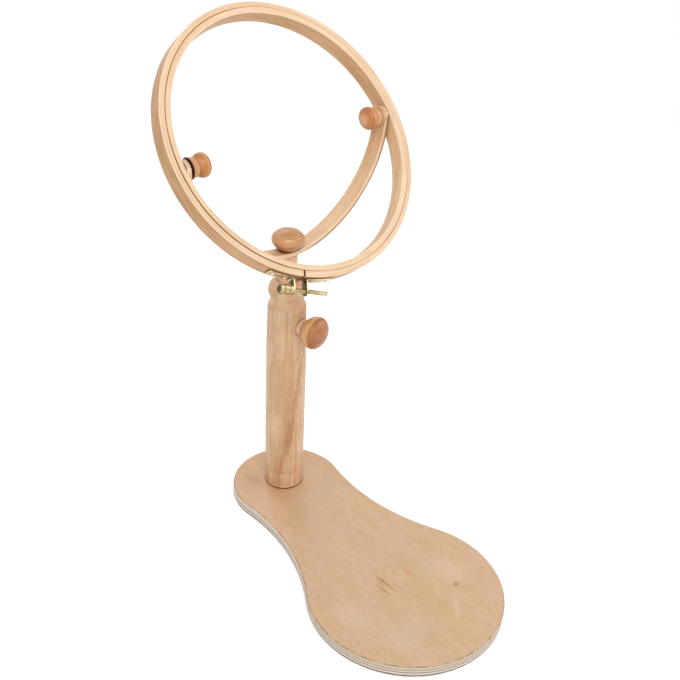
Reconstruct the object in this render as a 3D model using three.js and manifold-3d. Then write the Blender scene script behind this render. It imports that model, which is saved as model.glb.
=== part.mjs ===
// Embroidery hoop stand: a turned post on a pear-shaped seat board, with a sliding rod,
// a bent-wood yoke and a two-ring hoop that swivels, tilts and is held by wooden knobs.
// Millimetres, +Z up. The origin lies on the underside of the board, below the post.
// The stitcher sits on the board on the -Y side, and the hoop tilts on an axis along X.

import * as THREE from 'three';
import { mergeVertices } from 'three/addons/utils/BufferGeometryUtils.js';
import Module from 'manifold-3d';

const wasm = await Module();
wasm.setup();

// Clearances
const restGap = 0.3;
const fitGap = 0.2;
const slideGap = 0.4;

// Seat board: a small round end under the post and a large round end to sit on
const boardThickness = 12;
const boardEdgeRound = 1.2;
const smallEndRadius = 56;
const smallEndY = -7;
const largeEndRadius = 91;
const largeEndY = -196;
const waistRadius = 198;

// Post: turned, bored from the top for the rod. Its shoulder, neck and bead are measured down from the top.
const postRadius = 19.45;
const postTaperZ = 165;
const postShoulderRadius = 18.4;
const postTopZ = 245;
const postShoulderDrop = 27.5;
const footGrooveZ = 30;
const footGrooveDepth = 0.7;
const footGrooveWidth = 1.8;
const postEdgeRound = 1.5;
const neckRadius = 16;
const neckDrop = 18.5;
const beadRadius = 18;
const beadDrop = 10;
const boreFloorZ = 38;

// Screws that hold the post, from under the board
const baseScrewSpacing = 26;
const baseScrewLength = 26;
const baseScrewRadius = 2;
const baseScrewHeadRadius = 4;

// Rod that slides in the post
const rodRadius = 9;
const rodFootZ = 48;
const rodChamfer = 1;

// Yoke: a bent strip that stands on the rod and holds the hoop at its two ends
const pivotZ = 380.3;
const yokeSwivelDeg = 6.2;
const yokeWidth = 16.3;
const yokeThickness = 4.4;
const yokeDepth = 104;
const yokeFullness = 0.515;
const yokeEndRise = 5;
const yokeEdgeRound = 0.7;
const yokeToHoopGap = 1.4;

// Hoop: an inner ring in an outer ring
const hoopTiltDeg = 49.9;
const hoopWidth = 16.5;
const innerHoopRadius = 114.5;
const innerHoopThickness = 5.3;
const outerHoopThickness = 4.8;
const hoopEdgeRound = 0.9;
const hoopSplitGap = 2;
const closureTurnDeg = 24.2;

// Closure on the outer ring: two bent brackets and a screw
const bracketWidth = 8;
const bracketThickness = 1.2;
const bracketReach = 31;
const bracketBendRadius = 1;
const earLength = 14.6;
const leftEarX = 7.3;
const rightEarX = 4;
const closureScrewDrop = 10.5;
const closureScrewRadius = 1.9;
const closureScrewTip = 26.2;
const closureHeadRadius = 4.4;
const closureHeadLength = 11.6;
const closureSlotWidth = 1.3;
const closureSlotDepth = 1.6;
const closureScrewChamfer = 0.6;
const tackRadius = 0.8;
const tackLength = 4.2;
const tackHeadRadius = 1.8;
const tackHeadRise = 0.8;
const tackHeadTaper = 0.7;
const tackPlaces = [14, 26];

// Threads: each stud or bolt and the insert that it turns in
const clampStudRadius = 3;
const clampInsertRadius = 5;
const yokeStudRadius = 3;
const yokeStudDepth = 26;
const pivotBoltRadius = 2.5;
const pivotBoltHeadRadius = 4.6;
const pivotBoltHeadDepth = 2.3;
const insertWall = 1.8;
const insertLength = 9;
const studReach = 10.5;
const studChamfer = 0.6;
const insertChamfer = 0.2;

// Clamp knob of the post: how far below the post's top, and its direction from +X towards -Y
const clampDrop = 44;
const clampTurnDeg = -74;
const clampSeatRadius = 17;
const clampRecessRadius = 9.2;

// Turned knobs, each from its seat at 0 along its own axis
const knobFootRound = 0.5;
const collarStep = 0.5;
const knobRoundness = 0.56;
const skirtReach = 0.7;
const clampKnob = {
  footRadius: 8.3, flange: 0, collarRadius: 8.3, footLength: 4.2, waistRadius: 7.6, waistAt: 5.6,
  rimRadius: 15.9, rimAt: 18, crownRise: 8.8, fullness: 0.65,
};
const yokeKnob = {
  footRadius: 8.6, flange: 0, collarRadius: 8.6, footLength: 0.7, waistRadius: 8.5, waistAt: 1.2,
  rimRadius: 15.3, rimAt: 9.9, crownRise: 9.4, fullness: 0.7,
};
const pivotKnob = {
  footRadius: 9.3, flange: 2.2, collarRadius: 8.4, footLength: 5.4, waistRadius: 6.6, waistAt: 7.6,
  rimRadius: 10.5, rimAt: 13.8, crownRise: 5.4, fullness: 0.8,
};
const collarGrooveRadius = 7.6;

// Facets
const ringSteps = 72;
const postSteps = 32;
const knobSteps = 26;
const pinSteps = 14;
const tackSteps = 10;
const boardCurveSteps = 22;
const yokeCurveSteps = 20;
const yokeFineSteps = 200;
const profileCurveSteps = 4;

// Sizes that follow
const postShoulderZ = postTopZ - postShoulderDrop;
const neckZ = postTopZ - neckDrop;
const beadZ = postTopZ - beadDrop;
const clampZ = postTopZ - clampDrop;
const boreRadius = rodRadius + slideGap;
const yokeHalfWidth = innerHoopRadius - yokeToHoopGap;
const yokeInnerHalf = yokeHalfWidth - yokeThickness;
const yokeSeatZ = pivotZ - yokeDepth;
const rodTopZ = yokeSeatZ - yokeThickness - restGap;
const innerHoopOuter = innerHoopRadius + innerHoopThickness;
const outerHoopInner = innerHoopOuter + slideGap;
const outerHoopOuter = outerHoopInner + outerHoopThickness;

const mat = (color, roughness, metalness = 0) =>
  new THREE.MeshStandardMaterial({ color, roughness, metalness });
const finishes = {
  board: () => mat('#cfa57a', 0.5),
  beech: () => mat('#d2a880', 0.5),
  hoopBeech: () => mat('#e3bf97', 0.5),
  lacqueredBeech: () => mat('#c98f5c', 0.3),
  brass: () => mat('#c9b879', 0.3, 1),
  steel: () => mat('#9b9b98', 0.35, 1),
};

// Keep positions only, join shared corners and drop triangles that have no area
function closedGeometry(geometry) {
  const bare = new THREE.BufferGeometry();
  bare.setAttribute('position', geometry.getAttribute('position'));
  bare.setIndex(geometry.getIndex());
  const merged = mergeVertices(bare, 1e-4);
  const index = merged.getIndex().array;
  const kept = [];
  for (let i = 0; i < index.length; i += 3) {
    const [a, b, c] = [index[i], index[i + 1], index[i + 2]];
    if (a !== b && b !== c && c !== a) kept.push(a, b, c);
  }
  merged.setIndex(kept);
  return merged;
}

function toSolid(geometry) {
  const closed = closedGeometry(geometry);
  return new wasm.Manifold(new wasm.Mesh({
    numProp: 3,
    vertProperties: new Float32Array(closed.getAttribute('position').array),
    triVerts: new Uint32Array(closed.getIndex().array),
  }));
}

function toGeometry(solid) {
  const mesh = solid.getMesh();
  const geometry = new THREE.BufferGeometry();
  geometry.setAttribute('position', new THREE.BufferAttribute(new Float32Array(mesh.vertProperties), 3));
  geometry.setIndex(Array.from(mesh.triVerts));
  return geometry;
}

const cutAway = (geometry, ...tools) =>
  toGeometry(tools.reduce((solid, tool) => solid.subtract(toSolid(tool)), toSolid(geometry)));

// Turn a profile of [radius, height] points about Z, from the axis round to the axis or closed on itself
function turned(points, steps) {
  const profile = points.map(([radius, height]) => new THREE.Vector2(Math.max(radius, 0), height));
  const geometry = new THREE.LatheGeometry(profile, steps);
  geometry.rotateX(Math.PI / 2);
  return geometry;
}

// A tube: the ring between two radii, from z0 to z1, with its corners eased
function turnedRing(inner, outer, z0, z1, ease, steps) {
  return turned([
    [inner, z0 + ease], [inner + ease, z0], [outer - ease, z0], [outer, z0 + ease],
    [outer, z1 - ease], [outer - ease, z1], [inner + ease, z1], [inner, z1 - ease],
    [inner, z0 + ease],
  ], steps);
}

function turnedPin(radius, z0, z1, ease = 0, steps = pinSteps) {
  const profile = ease > 0
    ? [[0, z0], [radius - ease, z0], [radius, z0 + ease], [radius, z1 - ease], [radius - ease, z1], [0, z1]]
    : [[0, z0], [radius, z0], [radius, z1], [0, z1]];
  return turned(profile, steps);
}

// Extrude an outline along Z between two heights, its edges eased
function extruded(shape, z0, z1, ease, easeSteps, curveSegments) {
  const geometry = new THREE.ExtrudeGeometry(shape, {
    depth: z1 - z0 - 2 * ease,
    bevelEnabled: ease > 0,
    bevelThickness: ease,
    bevelSize: ease,
    bevelOffset: -ease,
    bevelSegments: easeSteps,
    curveSegments,
  });
  geometry.translate(0, 0, z0 + ease);
  return geometry;
}

// Turn a piece made along Z so that it lies along +X or -X
const alongX = (geometry, side = 1) => geometry.rotateY(side * Math.PI / 2);

const part = new THREE.Group();
function place(parent, name, geometry, finish) {
  const mesh = new THREE.Mesh(closedGeometry(geometry), finishes[finish]());
  mesh.name = name;
  parent.add(mesh);
  return mesh;
}

// Seat board
function boardOutline() {
  const span = smallEndY - largeEndY;
  const fromSmall = smallEndRadius + waistRadius;
  const fromLarge = largeEndRadius + waistRadius;
  const along = (fromSmall ** 2 - fromLarge ** 2 + span ** 2) / (2 * span);
  const waistX = Math.sqrt(fromSmall ** 2 - along ** 2);
  const waistY = smallEndY - along;
  const smallTangent = Math.atan2(waistY - smallEndY, waistX);
  const largeTangent = Math.atan2(waistY - largeEndY, waistX);
  const shape = new THREE.Shape();
  shape.absarc(0, smallEndY, smallEndRadius, smallTangent, Math.PI - smallTangent, false);
  shape.absarc(-waistX, waistY, waistRadius, -smallTangent, -largeTangent, true);
  shape.absarc(0, largeEndY, largeEndRadius, Math.PI - largeTangent, 2 * Math.PI + largeTangent, false);
  shape.absarc(waistX, waistY, waistRadius, Math.PI + largeTangent, Math.PI + smallTangent, true);
  return shape;
}

const screwSides = [-1, 1];
const baseScrewHeadDepth = baseScrewHeadRadius - baseScrewRadius;

function baseScrewProfile(gap) {
  const head = baseScrewHeadRadius + gap;
  const shank = baseScrewRadius + gap;
  const sunk = restGap - gap;
  return [
    [0, sunk], [head, sunk], [head, sunk + restGap], [shank, sunk + restGap + baseScrewHeadDepth],
    [shank, baseScrewLength - 2 * baseScrewRadius + gap], [0, baseScrewLength + gap],
  ];
}

const boardTools = screwSides.map((side) => {
  const profile = baseScrewProfile(fitGap);
  profile[0][1] = profile[1][1] = -1;
  return turned(profile, pinSteps).translate(side * baseScrewSpacing / 2, 0, 0);
});
const board = extruded(boardOutline(), 0, boardThickness, boardEdgeRound, 1, boardCurveSteps);
place(part, 'seat_board', cutAway(board, ...boardTools), 'board');

screwSides.forEach((side) => {
  const screw = turned(baseScrewProfile(0), pinSteps).translate(side * baseScrewSpacing / 2, 0, 0);
  place(part, side < 0 ? 'base_screw_left' : 'base_screw_right', screw, 'steel');
});

// Post
function postProfile() {
  const path = new THREE.Path();
  const foot = boardThickness;
  path.moveTo(0, foot);
  path.lineTo(postRadius - postEdgeRound, foot);
  path.quadraticCurveTo(postRadius, foot, postRadius, foot + postEdgeRound);
  path.lineTo(postRadius, footGrooveZ - footGrooveWidth / 2);
  path.lineTo(postRadius - footGrooveDepth, footGrooveZ);
  path.lineTo(postRadius, footGrooveZ + footGrooveWidth / 2);
  path.lineTo(postRadius, postTaperZ);
  path.lineTo(postShoulderRadius, postShoulderZ);
  const coveZ = (postShoulderZ + neckZ) / 2;
  path.bezierCurveTo(postShoulderRadius, coveZ, neckRadius, coveZ, neckRadius, neckZ);
  path.bezierCurveTo(
    neckRadius, (neckZ + beadZ) / 2, beadRadius, (neckZ + beadZ) / 2, beadRadius, beadZ,
  );
  path.bezierCurveTo(
    beadRadius, (beadZ + 2 * postTopZ) / 3,
    (beadRadius + boreRadius) / 2, postTopZ, boreRadius + restGap, postTopZ,
  );
  path.lineTo(boreRadius, postTopZ - restGap);
  path.lineTo(boreRadius, boreFloorZ);
  path.lineTo(0, boreFloorZ);
  return path.getPoints(profileCurveSteps).map((point) => [point.x, point.y]);
}

const clampTurn = THREE.MathUtils.degToRad(clampTurnDeg);
const aimClamp = (geometry) => alongX(geometry).rotateZ(clampTurn).translate(0, 0, clampZ);
const postTools = [
  aimClamp(turnedPin(clampRecessRadius, clampSeatRadius, postRadius + 1, 0, knobSteps)),
  aimClamp(turnedPin(clampInsertRadius + fitGap, 0, clampSeatRadius + 1)),
  ...screwSides.map((side) => turned(baseScrewProfile(fitGap), pinSteps)
    .translate(side * baseScrewSpacing / 2, 0, 0)),
];
place(part, 'outer_post', cutAway(turned(postProfile(), postSteps), ...postTools), 'beech');

const clampInsert = turnedRing(
  clampStudRadius + fitGap, clampInsertRadius, boreRadius + restGap, clampSeatRadius - restGap,
  insertChamfer, pinSteps,
);
place(part, 'clamp_insert', aimClamp(clampInsert), 'brass');

// Turned knobs: a foot, on some with a flange, a groove and a collar, then a waist, a full skirt and a crown
function knobProfile(size, holeRadius, holeDepth) {
  const path = new THREE.Path();
  const round = knobFootRound;
  path.moveTo(0, holeDepth);
  path.lineTo(holeRadius, holeDepth);
  path.lineTo(holeRadius, 0);
  path.lineTo(size.footRadius - round, 0);
  path.lineTo(size.footRadius, round);
  if (size.flange > 0) {
    path.lineTo(size.footRadius, size.flange);
    path.lineTo(collarGrooveRadius, size.flange + collarStep);
    path.lineTo(collarGrooveRadius, size.flange + 2 * collarStep);
    path.lineTo(size.collarRadius, size.flange + 3 * collarStep);
  }
  path.lineTo(size.collarRadius, size.footLength);
  path.bezierCurveTo(
    size.collarRadius, size.footLength + round,
    size.waistRadius, size.waistAt - round, size.waistRadius, size.waistAt,
  );
  const skirtHalf = (size.rimAt - size.waistAt) / 2;
  path.bezierCurveTo(
    size.waistRadius + skirtReach * size.fullness * (size.rimRadius - size.waistRadius),
    size.waistAt + (1 - size.fullness) * skirtHalf,
    size.rimRadius, size.rimAt - skirtHalf, size.rimRadius, size.rimAt,
  );
  path.bezierCurveTo(
    size.rimRadius, size.rimAt + knobRoundness * size.crownRise,
    knobRoundness * size.rimRadius, size.rimAt + size.crownRise, 0, size.rimAt + size.crownRise,
  );
  return path.getPoints(profileCurveSteps).map((point) => [point.x, point.y]);
}

const turnedKnob = (size, holeRadius, holeDepth) =>
  turned(knobProfile(size, holeRadius, holeDepth), knobSteps);

const clampKnobSeat = clampSeatRadius + restGap;
const clampKnobGeometry = turnedKnob(clampKnob, clampStudRadius + fitGap, studReach + restGap);
place(part, 'clamp_knob', aimClamp(clampKnobGeometry.translate(0, 0, clampKnobSeat)), 'lacqueredBeech');
const clampStud = turnedPin(clampStudRadius, rodRadius + restGap, clampKnobSeat + studReach, studChamfer);
place(part, 'clamp_stud', aimClamp(clampStud), 'steel');

// Inner face of the yoke from the pivot on the +X side to its middle, in X and Z about the pivot axis
const yokeCurve = new THREE.CubicBezierCurve(
  new THREE.Vector2(yokeInnerHalf, 0),
  new THREE.Vector2(yokeInnerHalf, -yokeFullness * yokeDepth),
  new THREE.Vector2(yokeFullness * yokeInnerHalf, -yokeDepth),
  new THREE.Vector2(0, -yokeDepth),
);
const finePoints = yokeCurve.getPoints(yokeFineSteps);

// The inner face curves up beside the knob on the rod, and the knob's flat foot keeps clear of it
const yokeKnobRise = yokeDepth + finePoints.findLast((point) => point.x >= yokeKnob.footRadius).y;
const yokeKnobSeatZ = yokeSeatZ + yokeKnobRise + restGap;

// Rod, with the stud that the yoke is screwed down on
const studTopZ = yokeKnobSeatZ + studReach;
const studFootZ = rodTopZ - yokeStudDepth;
const rod = turnedPin(rodRadius, rodFootZ, rodTopZ, rodChamfer, postSteps);
const rodBore = turnedPin(yokeStudRadius + fitGap, studFootZ - restGap, rodTopZ + 1);
place(part, 'inner_rod', cutAway(rod, rodBore), 'beech');
place(part, 'yoke_stud', turnedPin(yokeStudRadius, studFootZ, studTopZ, studChamfer), 'steel');

// Knob with a threaded insert, seated at 0 on its axis
function knobAndInsert(parent, name, size, studRadius, turn) {
  const insertRadius = studRadius + fitGap + insertWall;
  const knob = turnedKnob(size, insertRadius + fitGap, studReach + 2 * restGap);
  const insert = turnedRing(
    studRadius + fitGap, insertRadius, restGap, insertLength, insertChamfer, pinSteps,
  );
  const mesh = place(parent, name, turn(knob), 'lacqueredBeech');
  place(parent, `${name}_insert`, turn(insert), 'brass');
  return mesh;
}

knobAndInsert(part, 'yoke_knob', yokeKnob, yokeStudRadius, (g) => g.translate(0, 0, yokeKnobSeatZ));

// Everything that swivels with the yoke
const yokeFrame = new THREE.Group();
yokeFrame.position.z = pivotZ;
yokeFrame.rotation.z = THREE.MathUtils.degToRad(yokeSwivelDeg);
part.add(yokeFrame);

// Outline of the bent strip, drawn in X and Z about the pivot axis. Its outer face runs beside the inner one.
function yokeOutline() {
  const inner = [new THREE.Vector2(yokeInnerHalf, yokeEndRise)];
  const outer = [new THREE.Vector2(yokeHalfWidth, yokeEndRise)];
  for (let step = 0; step <= yokeCurveSteps; step += 1) {
    const along = step / yokeCurveSteps;
    const point = yokeCurve.getPoint(along);
    const run = yokeCurve.getTangent(along);
    inner.push(point);
    outer.push(new THREE.Vector2(point.x - run.y * yokeThickness, point.y + run.x * yokeThickness));
  }
  const mirrored = (points) => points.slice(0, -1).reverse().map(({ x, y }) => new THREE.Vector2(-x, y));
  const innerLine = [...inner, ...mirrored(inner)];
  const outerLine = [...outer, ...mirrored(outer)];
  return new THREE.Shape([...innerLine, ...outerLine.reverse()]);
}

const yokeStrip = extruded(yokeOutline(), -yokeWidth / 2, yokeWidth / 2, yokeEdgeRound, 1, yokeCurveSteps);
yokeStrip.rotateX(Math.PI / 2);
const yokeTools = [
  turnedPin(yokeStudRadius + slideGap, -yokeDepth - 2 * yokeThickness, -yokeDepth + yokeThickness),
  ...[-1, 1].map((side) =>
    alongX(turnedPin(pivotBoltRadius + slideGap, yokeInnerHalf - yokeThickness, innerHoopOuter), side)),
];
place(yokeFrame, 'yoke', cutAway(yokeStrip, ...yokeTools), 'hoopBeech');

// Everything that tilts with the hoop
const hoopFrame = new THREE.Group();
hoopFrame.rotation.x = THREE.MathUtils.degToRad(hoopTiltDeg);
yokeFrame.add(hoopFrame);

// The yoke curves in below the pivot, and the knob's flat foot keeps clear of it
const pivotKnobSeat = finePoints.find((point) => point.y <= -pivotKnob.footRadius).x - restGap;
const boltHeadFace = innerHoopOuter - restGap;

function pivotBoltProfile(gap, headFace) {
  const head = pivotBoltHeadRadius + gap;
  const shank = pivotBoltRadius + gap;
  const tip = pivotKnobSeat - studReach + 2 * restGap;
  return [
    [0, tip], [shank - studChamfer, tip], [shank, tip + studChamfer],
    [shank, boltHeadFace - pivotBoltHeadDepth],
    [head, boltHeadFace - restGap], [head, headFace], [0, headFace],
  ];
}

const innerRing = turnedRing(
  innerHoopRadius, innerHoopOuter, -hoopWidth / 2, hoopWidth / 2, hoopEdgeRound, ringSteps,
);
const innerTools = [-1, 1].map((side) =>
  alongX(turned(pivotBoltProfile(fitGap, innerHoopOuter + 1), pinSteps), side));
place(hoopFrame, 'inner_hoop', cutAway(innerRing, ...innerTools), 'hoopBeech');

[-1, 1].forEach((side) => {
  const word = side < 0 ? 'left' : 'right';
  const bolt = alongX(turned(pivotBoltProfile(0, boltHeadFace), pinSteps), side);
  place(hoopFrame, `pivot_bolt_${word}`, bolt, 'steel');
  const faceInward = (g) => alongX(g.translate(0, 0, -pivotKnobSeat), -side);
  knobAndInsert(hoopFrame, `pivot_knob_${word}`, pivotKnob, pivotBoltRadius, faceInward);
});

// Outer ring and its closure: the split lies at X = 0 on the -Y side of this frame
const closureFrame = new THREE.Group();
closureFrame.rotation.z = THREE.MathUtils.degToRad(-closureTurnDeg);
hoopFrame.add(closureFrame);

const bracketInner = outerHoopOuter + restGap;
const bracketOuter = bracketInner + bracketThickness;
const closureScrewY = -(outerHoopOuter + closureScrewDrop);
const tackHeadSeat = bracketOuter + fitGap;
const tackAngle = (side, along) => side * along / bracketOuter;

function tackProfile() {
  const tip = tackHeadSeat - tackLength;
  return [
    [0, tip], [tackRadius, tip + tackRadius], [tackRadius, tackHeadSeat],
    [tackHeadRadius, tackHeadSeat],
    [tackHeadTaper * tackHeadRadius, tackHeadSeat + tackHeadTaper * tackHeadRise],
    [0, tackHeadSeat + tackHeadRise],
  ];
}

// A tack points along -Y, turned round the ring to its place on the bracket
const aimTack = (geometry, side, along) =>
  geometry.rotateX(Math.PI / 2).rotateZ(tackAngle(side, along));
const tackHole = (side, along) =>
  aimTack(
    turnedPin(tackRadius + fitGap, outerHoopInner + fitGap, bracketOuter + 1, 0, tackSteps), side, along,
  );
const tackTools = [-1, 1].flatMap((side) => tackPlaces.map((along) => tackHole(side, along)));

const outerRing = turnedRing(
  outerHoopInner, outerHoopOuter, -hoopWidth / 2, hoopWidth / 2, hoopEdgeRound, ringSteps,
);
const splitTool = new THREE.BoxGeometry(hoopSplitGap, 4 * outerHoopThickness, 2 * hoopWidth)
  .translate(0, -outerHoopOuter, 0);
place(closureFrame, 'outer_hoop', cutAway(outerRing, splitTool, ...tackTools), 'hoopBeech');

// A bracket: a strip along the ring, bent out into an ear. Drawn for the +X side.
function bracketOutline(earX) {
  const bendOuter = bracketBendRadius + bracketThickness;
  const bendX = earX + bendOuter;
  const bendY = -Math.sqrt(bracketInner ** 2 - bendX ** 2) - bendOuter;
  const earEnd = -(outerHoopOuter + earLength);
  const startAngle = -Math.PI / 2 + Math.asin(bendX / bracketInner);
  const tipAngle = -Math.PI / 2 + bracketReach / bracketInner;
  const shape = new THREE.Shape();
  shape.moveTo(earX, earEnd);
  shape.lineTo(earX + bracketThickness, earEnd);
  shape.lineTo(earX + bracketThickness, bendY);
  shape.absarc(bendX, bendY, bracketBendRadius, Math.PI, Math.PI / 2, true);
  shape.absarc(0, 0, bracketOuter, startAngle, tipAngle, false);
  shape.absarc(0, 0, bracketInner, tipAngle, startAngle, true);
  shape.absarc(bendX, bendY, bendOuter, Math.PI / 2, Math.PI, false);
  return shape;
}

// Rounded end of the ear about the screw, drawn in Y and Z
function earTrim() {
  const half = bracketWidth / 2;
  const endRadius = Math.min(half, earLength - closureScrewDrop);
  const shape = new THREE.Shape();
  shape.moveTo(0, -half);
  shape.lineTo(0, half);
  shape.lineTo(closureScrewY, half);
  shape.absellipse(closureScrewY, 0, endRadius, half, Math.PI / 2, 3 * Math.PI / 2, false);
  return extruded(shape, -2 * bracketReach, 2 * bracketReach, 0, 1, 6)
    .applyMatrix4(new THREE.Matrix4().set(0, 0, 1, 0, 1, 0, 0, 0, 0, 1, 0, 0, 0, 0, 0, 1));
}

function bracket(side, earX, holeRadius) {
  const strip = extruded(bracketOutline(earX), -bracketWidth / 2, bracketWidth / 2, 0, 1, 5);
  const hole = alongX(turnedPin(holeRadius, -2 * bracketReach, 2 * bracketReach));
  hole.translate(0, closureScrewY, 0);
  let solid = toSolid(strip).intersect(toSolid(earTrim())).subtract(toSolid(hole));
  tackPlaces.forEach((along) => {
    solid = solid.subtract(toSolid(tackHole(1, along)));
  });
  return toGeometry(side > 0 ? solid : solid.mirror([1, 0, 0]));
}

place(closureFrame, 'closure_bracket_left', bracket(-1, leftEarX, closureScrewRadius + slideGap), 'brass');
place(closureFrame, 'closure_bracket_right', bracket(1, rightEarX, closureScrewRadius + fitGap), 'brass');

[-1, 1].forEach((side) => {
  tackPlaces.forEach((along, order) => {
    const name = `closure_tack_${side < 0 ? 'left' : 'right'}_${order + 1}`;
    place(closureFrame, name, aimTack(turned(tackProfile(), tackSteps), side, along), 'brass');
  });
});

const headFaceX = -(leftEarX + bracketThickness + restGap);
const headEndX = headFaceX - closureHeadLength;
const closureScrew = turned([
  [0, headEndX], [closureHeadRadius - closureScrewChamfer, headEndX],
  [closureHeadRadius, headEndX + closureScrewChamfer],
  [closureHeadRadius, headFaceX], [closureScrewRadius, headFaceX],
  [closureScrewRadius, closureScrewTip - closureScrewChamfer],
  [closureScrewRadius - closureScrewChamfer, closureScrewTip], [0, closureScrewTip],
], pinSteps);
const screwSlot = new THREE.BoxGeometry(closureSlotWidth, 3 * closureHeadRadius, 2 * closureSlotDepth)
  .translate(0, 0, headEndX);
const screwGeometry = alongX(cutAway(closureScrew, screwSlot)).translate(0, closureScrewY, 0);
place(closureFrame, 'closure_screw', screwGeometry, 'brass');

export default part;
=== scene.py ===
import math

import bmesh
import bpy
from mathutils import Matrix, Vector


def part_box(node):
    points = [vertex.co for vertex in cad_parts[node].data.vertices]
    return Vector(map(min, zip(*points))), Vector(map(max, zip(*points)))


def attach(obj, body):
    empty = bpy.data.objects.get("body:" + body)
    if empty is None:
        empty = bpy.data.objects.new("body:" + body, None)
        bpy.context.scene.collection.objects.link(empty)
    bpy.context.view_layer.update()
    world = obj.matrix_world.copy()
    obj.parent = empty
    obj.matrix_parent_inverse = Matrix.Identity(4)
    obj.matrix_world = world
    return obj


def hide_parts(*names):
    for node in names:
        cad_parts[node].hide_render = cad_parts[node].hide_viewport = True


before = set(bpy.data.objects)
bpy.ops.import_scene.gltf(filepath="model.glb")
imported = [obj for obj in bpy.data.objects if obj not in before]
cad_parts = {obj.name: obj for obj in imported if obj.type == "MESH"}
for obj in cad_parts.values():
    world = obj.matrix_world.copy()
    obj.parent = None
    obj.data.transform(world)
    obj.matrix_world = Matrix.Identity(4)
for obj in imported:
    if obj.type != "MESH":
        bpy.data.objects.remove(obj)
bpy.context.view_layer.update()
mm = 0.001
fullTurn = 2 * math.pi

# camera at the photograph's angle
camera = {
    "place": (-0.48338, -0.68514, 0.68889),
    "right": (0.79535, -0.60464, 0.04273),
    "up": (0.28447, 0.43459, 0.85452),
    "back": (-0.53524, -0.66749, 0.51766),
    "lens": 53.97, "sensor": 36, "clip": 0.02,
}


def addCamera():
    bpy.ops.object.camera_add()
    eye = bpy.context.object
    eye.name = "photoCamera"
    turn = Matrix((camera["right"], camera["up"], camera["back"])).transposed().to_4x4()
    eye.matrix_world = Matrix.Translation(camera["place"]) @ turn
    eye.data.lens = camera["lens"]
    eye.data.sensor_width = camera["sensor"]
    eye.data.clip_start = camera["clip"]
    bpy.context.scene.camera = eye


# soft boxes: place, the point that each looks at, width, depth and power
studio = {
    "key": {"place": (-0.9, -1.5, 2.1), "aim": (0, 0, 0.25), "size": (1.5, 0.9), "power": 26},
    "right": {"place": (1.9, -1, 1.1), "aim": (0, 0, 0.25), "size": (1, 1.4), "power": 9},
    "back": {"place": (0.4, 1.8, 1.8), "aim": (0, 0, 0.2), "size": (1.6, 0.8), "power": 9},
}
white = (1, 1, 1, 1)
ambient = {"Color": (1, 0.985, 0.965, 1), "Strength": 0.62}
studioFloor = {"size": 8, "height": -0.0002, "paint": (0.93, 0.93, 0.93, 1), "glow": 0.3, "fade": (0.7, 1.6)}


def addStudio():
    for name, box in studio.items():
        place = Vector(box["place"])
        bpy.ops.object.light_add(type="AREA", location=place)
        lamp = bpy.context.object
        lamp.name = name + "Light"
        lamp.rotation_euler = (Vector(box["aim"]) - place).to_track_quat("-Z", "Y").to_euler()
        lamp.data.shape = "RECTANGLE"
        lamp.data.size, lamp.data.size_y = box["size"]
        lamp.data.energy = box["power"]

    bpy.context.scene.view_settings.view_transform = "Standard"
    world = bpy.data.worlds.new("studioWorld")
    bpy.context.scene.world = world
    world.use_nodes = True
    tree = world.node_tree
    tree.nodes.clear()
    dim = addSignal(tree, "Background", ambient)
    bright = addSignal(tree, "Background", {"Color": white})
    addNode(tree, "OutputWorld", {"Surface": whereSeen(dim, bright)})


def whereSeen(plain, bright):
    # the bright shader where the camera, a mirror or glass sees it, and the plain one as a light
    eye, mirror, glass = (addSignal(plain.tree, "LightPath", output=f"Is {kind} Ray")
                          for kind in ("Camera", "Glossy", "Transmission"))
    seen = eye.atLeast(mirror).atLeast(glass)
    return addSignal(plain.tree, "MixShader", {0: seen, 1: plain, 2: bright})


def addFloor():
    clearSelection()
    bpy.ops.mesh.primitive_plane_add(size=studioFloor["size"], location=(0, 0, studioFloor["height"]))
    floor = bpy.context.object
    floor.name = "studioFloor"
    paint = bpy.data.materials.new("paleFloor")
    paint.use_nodes = True
    tree = paint.node_tree
    tree.nodes.clear()
    matt = addSignal(tree, "BsdfDiffuse", {"Color": studioFloor["paint"]})
    glow = addSignal(tree, "Emission", {"Strength": studioFloor["glow"]})
    both = addSignal(tree, "AddShader", {0: matt, 1: glow})
    # away from the object the floor goes over into the white background
    bright = addSignal(tree, "Emission", {"Color": white})
    far = objectPlace(tree).length().ranged(*studioFloor["fade"])
    faded = addSignal(tree, "MixShader", {0: far, 1: both, 2: bright})
    addNode(tree, "OutputMaterial", {"Surface": whereSeen(matt, faded)})
    floor.data.materials.append(paint)


# drawing helpers, in millimetres

def turned(angle, letter):
    return Matrix.Rotation(math.radians(angle), 4, letter)


def moved(x, y, z):
    return Matrix.Translation((x * mm, y * mm, z * mm))


def clearSelection():
    if bpy.context.mode != "OBJECT":
        bpy.ops.object.mode_set(mode="OBJECT")
    bpy.ops.object.select_all(action="DESELECT")


def pick(piece):
    clearSelection()
    piece.select_set(True)
    bpy.context.view_layer.objects.active = piece


def edit(piece):
    pick(piece)
    bpy.ops.object.mode_set(mode="EDIT")


def extrude(x, y, z):
    bpy.ops.mesh.extrude_region_move(TRANSFORM_OT_translate={"value": (x * mm, y * mm, z * mm)})


def drawLine(name, points):
    # a plane merged to the first point and drawn on from there, all of it left selected
    clearSelection()
    bpy.ops.mesh.primitive_plane_add(size=1 * mm)
    piece = bpy.context.object
    piece.name = name
    bpy.ops.object.mode_set(mode="EDIT")
    bpy.ops.mesh.select_all(action="SELECT")
    bpy.ops.mesh.merge(type="CENTER")
    bpy.ops.transform.translate(value=[value * mm for value in points[0]])
    for start, end in zip(points, points[1:]):
        extrude(*(b - a for a, b in zip(start, end)))
    bpy.ops.mesh.select_all(action="SELECT")
    return piece


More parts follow.
